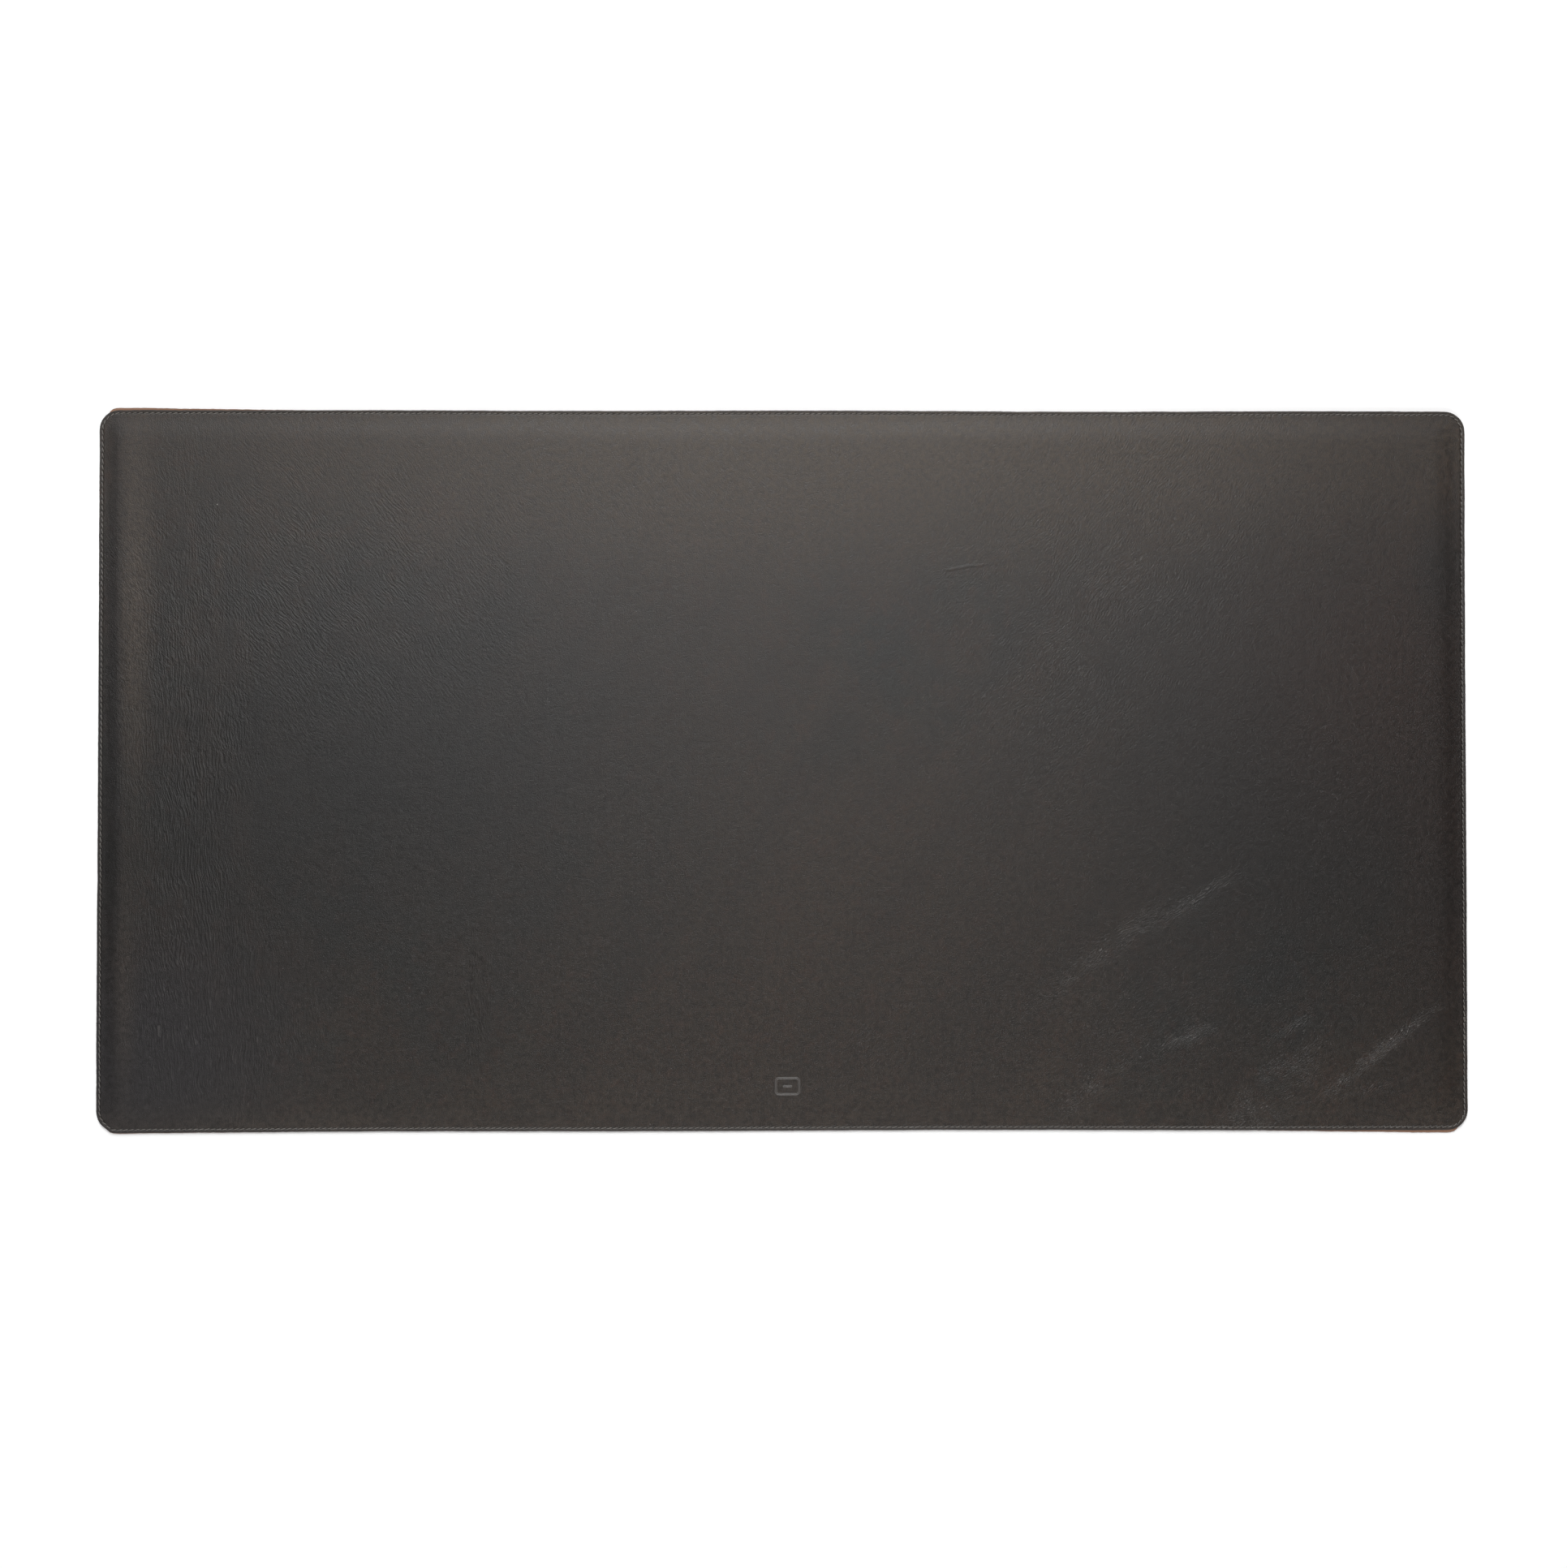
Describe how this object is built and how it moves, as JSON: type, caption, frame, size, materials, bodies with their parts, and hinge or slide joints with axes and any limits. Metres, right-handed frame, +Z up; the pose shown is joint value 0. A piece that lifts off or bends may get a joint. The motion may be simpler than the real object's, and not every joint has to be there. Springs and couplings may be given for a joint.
{
  "type": "desk mat",
  "caption": "Flat rectangular sewn leather desk mat with rounded corners, a stepped-down edge, an edge seam all round and a blank stamp near the front edge.",
  "frame": {"origin": "middle of the underside, on the desk", "axes": "+X to the right along the long side, +Y away from the person at the desk, +Z up through the thickness"},
  "size_m": [0.95, 0.5034, 0.003],
  "materials": {
    "top_leather": "dark brown full grain, waxed satin",
    "core_board": "bonded leather board, matt",
    "backing_leather": "tan, suede side down, matt",
    "thread": "waxed polyester thread, satin"
  },
  "bodies": {
    "root": {"top_leather": "top_leather", "core_board": "core_board", "backing_leather": "backing_leather", "needle_thread": "thread", "bobbin_thread": "thread"}
  },
  "joints": []
}
